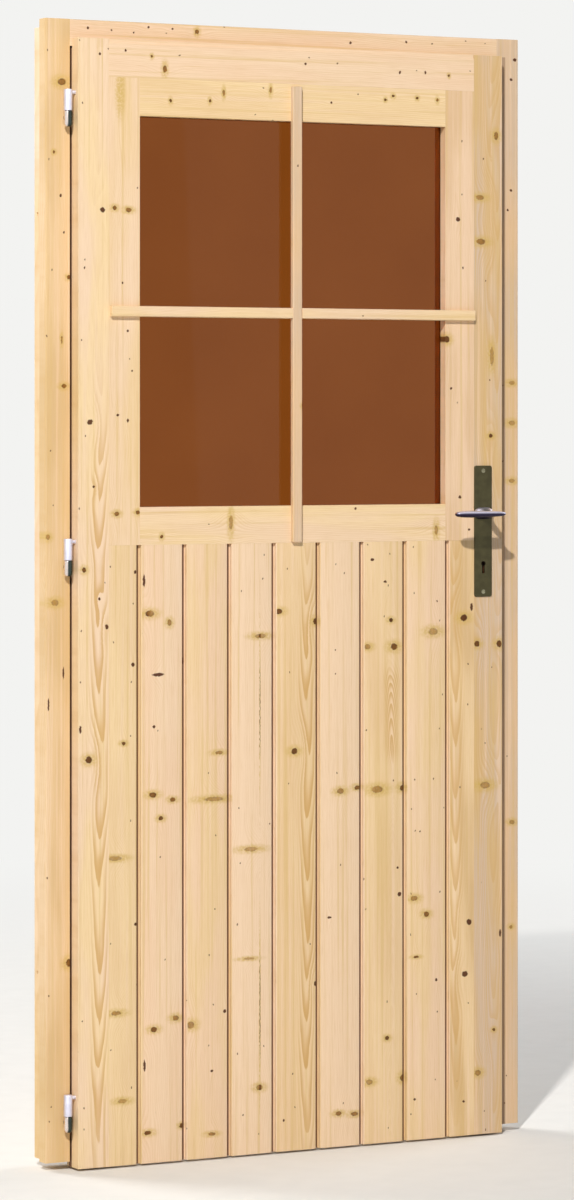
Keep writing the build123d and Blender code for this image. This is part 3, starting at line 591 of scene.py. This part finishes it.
board_knots = [
    (-334, 712, 5, 4, 0.6), (-316, 846, 4, 5, 0.9), (-350, 516, 16, 5, 0.0), (-348, 251, 13, 5, 0.2),
    (-311, 401, 4, 4, 0.9), (-336, 100, 11, 5, 0.0), (-312, 1005, 3, 4, 0.9),
    (-284, 933, 11, 7, 0.2), (-246, 917, 5, 7, 0.2), (-219, 851, 4, 10, 1.0), (-268, 828, 15, 4, 0.9),
    (-276, 739, 3, 3, 0.9), (-278, 622, 9, 6, 0.4), (-240, 612, 7, 5, 0.4), (-263, 581, 6, 5, 0.5),
    (-276, 219, 8, 6, 0.5), (-234, 236, 8, 6, 0.3), (-288, 42, 9, 5, 0.5), (-223, 50, 5, 5, 0.6),
    (-295, 990, 3, 14, 1.0), (-294, 158, 3, 13, 0.9),
    (-160, 610, 24, 5, 0.1), (-139, 242, 4, 4, 0.8), (-205, 222, 9, 8, 0.2), (-164, 140, 4, 3, 0.9),
    (-164, 31, 9, 4, 0.3), (-150, 690, 10, 4, 0.2),
    (-69, 890, 14, 5, 0.0), (-88, 520, 18, 5, 0.0), (-71, 105, 8, 6, 0.1), (-92, 330, 14, 3, 0.0),
    (-70, 241, 0.8, 120, 0.5), (-70, 762, 0.7, 110, 0.5),
    (-33, 932, 9, 6, 0.6), (40, 913, 6, 7, 0.7), (-2, 687, 8, 7, 0.7), (40, 279, 4, 6, 0.8), (-23, 44, 3, 3, 0.9),
    (90, 614, 9, 6, 0.2), (124, 619, 8, 5, 0.4), (68, 393, 5, 3, 0.9), (86, 48, 8, 5, 0.3), (118, 45, 9, 5, 0.3),
    (154, 1019, 5, 3, 0.9), (180, 980, 4, 3, 0.8), (192, 912, 5, 5, 0.7), (198, 865, 9, 8, 0.5),
    (144, 866, 8, 6, 0.2), (164, 614, 15, 8, 0.2), (215, 615, 7, 7, 0.5), (209, 427, 5, 5, 0.9),
    (184, 174, 5, 5, 0.7), (148, 99, 9, 6, 0.1), (215, 102, 6, 8, 0.4), (205, 474, 3, 3, 0.9),
    (278, 890, 12, 8, 0.0), (239, 418, 9, 6, 0.2), (264, 389, 7, 6, 0.4), (243, 314, 7, 3, 0.6),
    (284, 271, 3, 4, 0.9), (240, 62, 3, 3, 0.9), (251, 536, 2, 2, 0.9),
    (341, 913, 9, 8, 0.7), (357, 932, 4, 9, 1.0), (352, 370, 7, 7, 0.9), (343, 278, 8, 7, 0.8), (341, 51, 3, 3, 0.9),
]
first_start = stile_inner + first_width - board_pitch
# One row for each board from the left: its two tones, cut, strength and colour of its rings, and its tongues.
# Painted shade darkens the floor of its shadow gap, its own edge in the gap before it, and its joint at the back.
board_timber = [
    (yellowish, straw, (-240, 14, -18, 3.0), 0.35, ring_pale, None),
    (pinkish, rosy, (-330, 20, 14, 3.4), 0.30, ring_pale, None),
    (straw, rosy, (-100, 24, -12, 3.0), 0.35, ring_pale, None),
    (pinkish, pinkish, (-40, 20, 10, 3.2), 0.25, ring_pale, None),
    (straw, tan, (23, 20, -36, 3.3), 0.85, ring_tan, (500, 500)),
    (pinkish, pinkish, (160, 18, 14, 3.0), 0.3, ring_pale, None),
    (straw, tan, (192, 8, 90, 2.4), 0.8, ring_tan, (745, 75)),
    (rosy, straw, (330, 20, 14, 3.2), 0.30, ring_pale, None),
    (deep_tan, straw, (324, 20, -40, 3.4), 0.65, ring_tan, (560, 480)),
]
board_pines = []
for number, (tone, second, cut, strong, rings, tongues) in enumerate(board_timber):
    start_mm = (first_start + number * board_pitch) * 1000
    mine = [knot for knot in board_knots if start_mm <= knot[0] < start_mm + board_pitch * 1000]
    painted_gap_shade = [
        (4.6, 7.0, start_mm + 70, start_mm + 84.6, 0.85),
        (1.6, 6.0, start_mm - 2, start_mm + 0.2, 0.4),
        (16.0, 24.0, start_mm - 2, start_mm + 0.2, 0.5),
    ]
    board_pines.append(pine(
        f"board_{number + 1}_pine", tone, second, cut, mine, rings, strong, seed=20.0 + number, tongues=tongues,
        face=board_low.y * 1000, painted_shades=painted_gap_shade,
    ))
board_recipe = Recipe("tongued_boards", {
    "Count": ("Int", board_count), "Pitch": ("Float", board_pitch), "Height": ("Float", board_high.z - board_low.z),
    "Set back": ("Float", 0.0003), "Seed": ("Int", 4), "Material": ("Material", board_pines[0]),
})
loop = board_recipe.node("GeometryNodeMeshToCurve", {}, {0: board_recipe.given("Geometry")})
section = board_recipe.node("GeometryNodeFillCurve", {}, {"Curve": loop})
rise = board_recipe.node("ShaderNodeCombineXYZ", {}, {2: board_recipe.given("Height")})
walls = board_recipe.node(
    "GeometryNodeExtrudeMesh", {}, {"Mesh": section, "Offset": rise, "Offset Scale": 1.0, "Individual": False}
)
under = board_recipe.node("GeometryNodeFlipFaces", {}, {0: section})
solid = board_recipe.node("GeometryNodeJoinGeometry", {}, {0: walls})
board_recipe.tree.links.new(under.socket, solid.socket.node.inputs[0])
board_solid = board_recipe.node("GeometryNodeMergeByDistance", {}, {"Geometry": solid, "Distance": 0.00001})
along_row = board_recipe.node("ShaderNodeCombineXYZ", {}, {0: board_recipe.given("Pitch")})
row = board_recipe.node("GeometryNodeMeshLine", {}, {"Count": board_recipe.given("Count"), "Offset": along_row})
set_back = board_recipe.node("ShaderNodeCombineXYZ", {}, {1: board_recipe.given("Set back")})
shift = board_recipe.node(
    "FunctionNodeRandomValue", {"data_type": "FLOAT_VECTOR"},
    {0: (0.0, 0.0, 0.0), 1: set_back, "Seed": board_recipe.given("Seed")},
)
spots = board_recipe.node("GeometryNodeSetPosition", {}, {"Geometry": row, "Offset": shift})
laid = board_recipe.node("GeometryNodeInstanceOnPoints", {}, {"Points": spots, "Instance": board_solid})
made_real = board_recipe.node("GeometryNodeRealizeInstances", {}, {0: laid})
boards_mesh = board_recipe.serve(made_real, "boards", board_outline())

boards_mesh.transform(Matrix.Translation((first_start, board_low.y, board_low.z)))
ripped = bmesh.new()
ripped.from_mesh(boards_mesh)
for side in (-1, 1):
    parts = ripped.verts[:] + ripped.edges[:] + ripped.faces[:]
    cut_line = bmesh.ops.bisect_plane(
        ripped, geom=parts, dist=0.000001, plane_co=(-side * stile_inner, 0, 0), plane_no=(side, 0, 0),
        clear_outer=True,
    )
    edges = [e for e in cut_line["geom_cut"] if isinstance(e, bmesh.types.BMEdge)]
    bmesh.ops.holes_fill(ripped, edges=edges)
bmesh.ops.recalc_face_normals(ripped, faces=ripped.faces)
ripped.to_mesh(boards_mesh)
ripped.free()
boards_mesh.set_sharp_from_angle(angle=math.radians(smooth_deg))
boards_mesh.materials.clear()
for material in board_pines:
    boards_mesh.materials.append(material)
for face in boards_mesh.polygons:
    face.use_smooth = True
    own_board = (face.center.x - first_start - tongue_length) / board_pitch
    face.material_index = min(max(int(own_board), 0), board_count - 1)
link("matchboards", boards_mesh, None, "leaf", "leaf_pine", *[f"board_{i + 1}" for i in range(board_count)])

# Ledges: three pine rails across the boards' backs, their back arrises bevelled.
# Countersunk screws hold each board twice to each ledge.
ledge_pine = pine("ledge_pine", straw, pinkish, (-60, 24, 12, 3.2), level=True, seed=19.0)
for node in ("bottom_ledge", "middle_ledge", "top_ledge"):
    planed(node, ledge_pine, "leaf", arris_mm=0.5)


def bright_metal(name, tone, second, rough, scratch=(0.9, 0.9, 0.9)):
    """A plated or polished metal with fine scratches and slow changes of shine, in millimetres."""
    metal = Finish(name)
    at = metal.place()
    fine = metal.noise(at * scratch, 3.0, 0.6)
    slow = metal.noise(at * 0.09, 2.0)
    metal.wear(
        Base_Color=metal.blend(slow.ease(0.3, 0.7), tone, second), Metallic=1.0,
        Roughness=fine * 0.16 + slow * 0.12 + rough,
    )
    metal.emboss(fine, 0.03, 0.25)
    return metal.material


def slotted_head(name, radius, proud, slot_half, slot_deep, sunk=0.0012):
    """A flat round head on Y that faces the room, slotted across, its skirt sunk in the wood."""
    start = math.asin(slot_half / radius)
    arc = [start + (math.pi - 2 * start) * i / 8 for i in range(9)]
    rim = [(radius * math.cos(t), radius * math.sin(t)) for t in arc + [t + math.pi for t in arc]]
    work = bmesh.new()
    top = [work.verts.new((px, proud, pz)) for px, pz in rim]
    base = [work.verts.new((px, -sunk, pz)) for px, pz in rim]
    low = [work.verts.new((rim[i][0], proud - slot_deep, rim[i][1])) for i in (0, 8, 9, 17)]
    faces = [top[:9], top[9:], low, base, (top[0], top[8], low[1], low[0]), (top[9], top[17], low[3], low[2])]
    faces += [(low[1], low[2], base[9], base[8]), (low[3], low[0], base[0], base[17])]
    for first in (0, 9):
        corner = first // 9 * 2
        for i in range(first, first + 8):
            side = [base[i], base[i + 1], top[i + 1], top[i]]
            if i == first:
                side.append(low[corner])
            if i == first + 7:
                side.insert(2, low[corner + 1])
            faces.append(side)
    for face in faces:
        work.faces.new(face)
    bmesh.ops.recalc_face_normals(work, faces=work.faces)
    mesh = bpy.data.meshes.new(name)
    work.to_mesh(mesh)
    work.free()
    return mesh


def fixings(name, head_mesh, spots, material, body, slot, seed):
    """Like heads at every spot, each turned by chance about its own axis, made by one Geometry Nodes tree."""
    head = bpy.data.objects.new(name + "_head", head_mesh)
    inputs = {"Head": ("Object", head), "Seed": ("Int", seed), "Material": ("Material", material)}
    recipe = Recipe(name + "_rows", inputs)
    shape = recipe.node("GeometryNodeObjectInfo", {}, {"Object": recipe.given("Head")}, "Geometry")
    span = {2: 0.0, 3: 2 * math.pi, "Seed": recipe.given("Seed")}
    turn = recipe.node("FunctionNodeRandomValue", {"data_type": "FLOAT"}, span, 1)
    spin = recipe.node("ShaderNodeCombineXYZ", {}, {1: turn})
    places = {"Points": recipe.given("Geometry"), "Instance": shape, "Rotation": spin}
    rows = recipe.node("GeometryNodeInstanceOnPoints", {}, places)
    points = bpy.data.meshes.new(name + "_spots")
    points.from_pydata(spots, [], [])
    made = recipe.serve(recipe.node("GeometryNodeRealizeInstances", {}, {0: rows}), name, points)
    bpy.data.objects.remove(head)
    link(name, made, material, body, slot)


screw_steel = bright_metal("screw_steel_finish", paint(196, 196, 194), paint(168, 168, 170), 0.2)
screw_spots = []
screw_stagger = 0.021
screw_share = 0.27
for ledge in ("bottom_ledge", "middle_ledge", "top_ledge"):
    low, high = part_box(ledge)
    for number in range(board_count):
        left = max(first_start + number * board_pitch, stile_inner)
        right = min(first_start + (number + 1) * board_pitch - shadow_width, -stile_inner)
        for side in (-1, 1):
            across = (left + right) / 2 + side * (right - left) * screw_share
            screw_spots.append((across, high.y, (low.z + high.z) / 2 + side * screw_stagger))
ledge_head = slotted_head("ledge_screw_head", radius=0.0038, proud=0.0002, slot_half=0.0005, slot_deep=0.0009)
fixings("ledge_screws", ledge_head, screw_spots, screw_steel, "leaf", "screw_steel", seed=7)

# Bead brads: fine steel pins that hold the glazing beads.
# They are driven flush from the room side, a little nearer the bead's outer edge.
brad_pitch = 0.125
outer_share = 0.35
brad_spots = []
for bead in ("left_bead", "right_bead", "top_bead", "bottom_bead"):
    low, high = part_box(bead)
    run = 2 if high.z - low.z > high.x - low.x else 0
    outer = low if bead in ("left_bead", "bottom_bead") else high
    count = round((high[run] - low[run]) / brad_pitch)
    for i in range(count):
        spot = [(low.x + high.x) / 2, high.y, (low.z + high.z) / 2]
        spot[run] = low[run] + (high[run] - low[run]) * (i + 0.5) / count
        spot[2 - run] = outer[2 - run] * outer_share + spot[2 - run] * (1 - outer_share)
        brad_spots.append(spot)
brad_head = slotted_head("brad_head", radius=0.0011, proud=0.0001, slot_half=0.0001, slot_deep=0.0002)
fixings("bead_brads", brad_head, brad_spots, screw_steel, "leaf", "screw_steel", seed=11)

# Hinges: three drill-in lift-off hinges of bright zinc-plated steel, each a sleeve over a pin.
# The sleeve screws into the leaf's edge by its arm, the pin's barrel into the casing.
sleeve_zinc = bright_metal("sleeve_zinc", paint(232, 231, 247), paint(220, 220, 238), 0.38)
hinge_radius = 0.0074
hinge_across = (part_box("lower_hinge_frame_half")[0].x + hinge_radius) * 1000
# The pin barrels carry a painted reflection: their left side is coloured light and their right side dark.
oiled_zinc = Finish("oiled_zinc")
on_barrel = oiled_zinc.place()
barrel_mottle = oiled_zinc.noise(on_barrel * (0.5, 0.5, 0.12), 3.0)
painted_reflection_side = (on_barrel.split()[0] + barrel_mottle * 1.6).ease(hinge_across - 3.8, hinge_across - 1.4)
oiled_zinc.wear(
    Base_Color=oiled_zinc.blend(painted_reflection_side, paint(236, 222, 216), paint(66, 74, 70)), Metallic=1.0,
    Roughness=barrel_mottle * 0.2 + 0.18,
)
oiled_zinc.emboss(barrel_mottle, 0.03, 0.2)
hinge_length = 0.064
hinge_split = 0.027
hinge_seam = 0.0004
hinge_edge = 0.0008
tip_radius = 0.0035
tip_height = 0.006
arm_radius = 0.0035
arm_edge = 0.0004
arm_steps = 24
arm_level = 0.016
arm_drop = 0.005


def turned(work, outline, centre, axis, steps=40):
    """Adds a solid of revolution to a mesh, from points (radius, place along the axis); its ends lie on the axis."""
    rows = []
    for radius, place in outline:
        ring = []
        for i in range(1 if radius == 0 else steps):
            turn = 2 * math.pi * i / steps
            point = Vector((radius * math.cos(turn), radius * math.sin(turn), place))
            ring.append(work.verts.new(axis @ point + Vector(centre)))
        rows.append(ring * (steps // len(ring)))
    for low, high in zip(rows, rows[1:]):
        for i in range(steps):
            work.faces.new(list(dict.fromkeys((low[i - 1], low[i], high[i], high[i - 1]))))


def smooth_mesh(work, name, sharp_deg=35.0):
    """Turns a worked shape into a mesh with outward faces, smooth but for its real edges."""
    bmesh.ops.recalc_face_normals(work, faces=work.faces)
    mesh = bpy.data.meshes.new(name)
    work.to_mesh(mesh)
    work.free()
    mesh.set_sharp_from_angle(angle=math.radians(sharp_deg))
    for face in mesh.polygons:
        face.use_smooth = True
    return mesh


upright = Matrix.Identity(3)
to_room = Euler((math.radians(-90), 0, 0)).to_matrix()
to_lock = Euler((0, math.radians(90), 0)).to_matrix()


def rounded(radius, low, high, edge):
    """The outline of a plain turned bar with rounded ends."""
    steps = [math.radians(22.5 * i) for i in range(5)]
    foot = [(radius - edge + edge * math.sin(t), low + edge - edge * math.cos(t)) for t in steps]
    head = [(radius - edge + edge * math.cos(t), high - edge + edge * math.sin(t)) for t in steps]
    return [(0, low)] + foot + head + [(0, high)]


for level in ("lower", "middle", "upper"):
    low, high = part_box(level + "_hinge_frame_half")
    centre = (low.x + hinge_radius, low.y + hinge_radius, low.z)
    arm_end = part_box(level + "_hinge_leaf_half")[1].x
    sleeve = bmesh.new()
    turned(sleeve, rounded(hinge_radius, hinge_split + hinge_seam, hinge_length, hinge_edge), centre, upright)
    arm_centre = (centre[0], centre[1], low.z + hinge_length - arm_drop)
    turned(sleeve, rounded(arm_radius, 0, arm_end - centre[0], arm_edge), arm_centre, to_lock, arm_steps)
    shape = smooth_mesh(sleeve, "sleeve")
    link(level + "_hinge_sleeve", shape, sleeve_zinc, "leaf", "hinge_zinc", level + "_hinge_leaf_half")
    barrel = bmesh.new()
    dome = [math.radians(15 * i) for i in range(7)]
    tip = [(tip_radius + (hinge_radius - tip_radius) * math.sin(t), tip_height * (1 - math.cos(t))) for t in dome]
    top = rounded(hinge_radius, 0, hinge_split - hinge_seam, hinge_edge)[6:]
    turned(barrel, [(0, 0)] + tip + top, centre, upright)
    arm_centre = (centre[0], centre[1], low.z + arm_level)
    turned(barrel, rounded(arm_radius, 0, high.y - centre[1], arm_edge), arm_centre, to_room, arm_steps)
    shape = smooth_mesh(barrel, "barrel")
    link(level + "_hinge_barrel", shape, oiled_zinc.material, "frame", "hinge_zinc", level + "_hinge_frame_half")

# Lock: a mortise lock in the right stile, its case of sheet steel, its bolts of turned and milled steel.
# The faceplate is let into the stile's edge, the strike plate into the casing, each with two screws.
faceplate_steel = bright_metal("faceplate_steel", paint(186, 186, 184), paint(160, 161, 164), 0.26, (0.15, 0.15, 2.4))
bolt_steel = bright_metal("bolt_steel", paint(196, 194, 186), paint(172, 170, 164), 0.2, (0.2, 2.2, 2.2))
case_steel = bright_metal("case_steel", paint(140, 142, 146), paint(112, 115, 120), 0.34)


def dress(material, *nodes):
    """Gives CAD pieces whose shape is right their finish."""
    for node in nodes:
        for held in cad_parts[node].material_slots:
            held.material = material


dress(faceplate_steel, "lock_faceplate", "strike_plate")
dress(screw_steel, "faceplate_screws", "strike_screws")
dress(bolt_steel, "latch_bolt", "dead_bolt", "spindle", "lock_follower")
dress(case_steel, "lock_case")

# Handle plates: long pressed plates, lacquered olive bronze, one on each side of the stile.
# Two slotted screws hold each, and years of keys have rubbed the lacquer round the keyhole.
plate_bronze = Finish("plate_bronze")
on_plate = plate_bronze.place()
brushed = plate_bronze.noise(on_plate * (2.2, 0.4, 0.05), 3.0, 0.6)
cloudy = plate_bronze.noise(on_plate * 0.06, 2.0)
key_hole = (380.0, 0.0, 1005.0)
from_key = ((on_plate - key_hole) * (1.0, 0.0, 0.75)).length()
rubbed = (1.0 - (from_key + cloudy * 14.0).ease(12.0, 26.0)) * brushed.ease(0.45, 0.7)
olive = plate_bronze.blend(cloudy.ease(0.3, 0.7), paint(78, 73, 47), paint(68, 63, 40))
plate_bronze.wear(
    Base_Color=plate_bronze.blend(rubbed * 0.35, olive, paint(112, 102, 68)), Metallic=0.7,
    Roughness=brushed * 0.14 + cloudy * 0.1 + 0.32,
)
plate_bronze.emboss(brushed, 0.02, 0.3)
dress(plate_bronze.material, "outer_handle_plate", "inner_handle_plate")
dress(bright_metal("plate_screw_finish", paint(150, 146, 122), paint(118, 114, 90), 0.3), "plate_screws")

# Levers: cast aluminium, satin polished, one on each side, held by the square spindle.
# Each rises from a domed oval foot on the plate into a round neck, which carries a flat oval grip.
# Their colour is a painted reflection with painted shade: light on top, dark underneath and at the heel far from the
# plate.
lever_aluminium = Finish("lever_aluminium")
on_lever = lever_aluminium.place()
lever_scratch = lever_aluminium.noise(on_lever * (0.25, 1.6, 1.6), 3.0, 0.6)
spindle_low, spindle_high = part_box("spindle")
spindle_level = (spindle_low.z + spindle_high.z) / 2
spindle_across = (spindle_low.x + spindle_high.x) / 2
leaf_middle_mm = -27.0
grip_across, grip_out, grip_up = on_lever.split()
# Painted reflection and painted shade: the underside, and the heel far out from the plate, are coloured dark, the top
# light.
under = (grip_up + lever_scratch * 1.2).ease(spindle_level * 1000 + 4.8, spindle_level * 1000 + 0.2)
far_out = (grip_out - leaf_middle_mm).call("ABSOLUTE").ease(60.0, 75.0)
heel = grip_across.ease(spindle_across * 1000 + 2.0, spindle_across * 1000 + 8.0)
under = under.call("MAXIMUM", heel * far_out * 0.6)
lever_aluminium.wear(
    Base_Color=lever_aluminium.blend(under, paint(222, 218, 238), paint(50, 43, 64)), Metallic=1.0,
    Roughness=lever_scratch * 0.14 + under * 0.1 + 0.28,
)
lever_aluminium.emboss(lever_scratch, 0.03, 0.2)
# Each station of the neck is (out from the plate, half width, half height).
foot_stations = [
    (0.0003, 0.0180, 0.0106), (0.0024, 0.0180, 0.0106), (0.0046, 0.0174, 0.0101), (0.0070, 0.0156, 0.0090),
    (0.0100, 0.0122, 0.0076), (0.0150, 0.0088, 0.0064), (0.0220, 0.0069, 0.0054), (0.0400, 0.0060, 0.0049),
    (0.0600, 0.0056, 0.0040),
]
foot_fullness = 0.62
foot_height = 0.012
grip_level = 0.0582
# Each station of the grip is (across from the spindle, half depth, half height).
grip_stations = [
    (0.0110, 0.0008, 0.0008), (0.0098, 0.0034, 0.0022), (0.0066, 0.0058, 0.0035), (0.0, 0.0080, 0.0044),
    (-0.014, 0.0094, 0.0052), (-0.030, 0.0101, 0.0058), (-0.050, 0.0102, 0.0062), (-0.068, 0.0098, 0.0061),
    (-0.080, 0.0084, 0.0055), (-0.087, 0.0064, 0.0044), (-0.0905, 0.0040, 0.0028), (-0.0916, 0.0012, 0.0010),
]
oval_steps = 32


def oval_bar(work, stations, wide_way):
    """Adds a closed bar of oval sections, from (centre, half width, half height, power).

    A power of 1 is an ellipse, and less is a fuller oval.
    """
    rows = []
    for centre, half_wide, half_high, power in stations:
        row = []
        for i in range(oval_steps):
            turn = 2 * math.pi * i / oval_steps
            wide, high = [math.copysign(abs(v) ** power, v) for v in (math.cos(turn), math.sin(turn))]
            spot = Vector(centre) + wide_way * (wide * half_wide) + Vector((0, 0, high * half_high))
            row.append(work.verts.new(spot))
        rows.append(row)
    for low, high in zip(rows, rows[1:]):
        for i in range(oval_steps):
            work.faces.new((low[i - 1], low[i], high[i], high[i - 1]))
    work.faces.new(rows[0])
    work.faces.new(rows[-1])


for side, facing in (("outer", -1), ("inner", 1)):
    plate_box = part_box(side + "_handle_plate")
    plate_front = plate_box[0].y if facing < 0 else plate_box[1].y
    lever = bmesh.new()
    neck = []
    for out, wide, high in foot_stations:
        power = foot_fullness + (1.0 - foot_fullness) * min(out / foot_height, 1.0)
        neck.append(((spindle_across, plate_front + facing * out, spindle_level), wide, high, power))
    grip = []
    for along, wide, high in grip_stations:
        grip.append(((spindle_across + along, plate_front + facing * grip_level, spindle_level), wide, high, 1.0))
    oval_bar(lever, neck, Vector((1, 0, 0)))
    oval_bar(lever, grip, Vector((0, 1, 0)))
    shape = smooth_mesh(lever, side + "_lever", 50.0)
    link(side + "_lever_piece", shape, lever_aluminium.material, "lever_set", "lever_aluminium", side + "_lever")
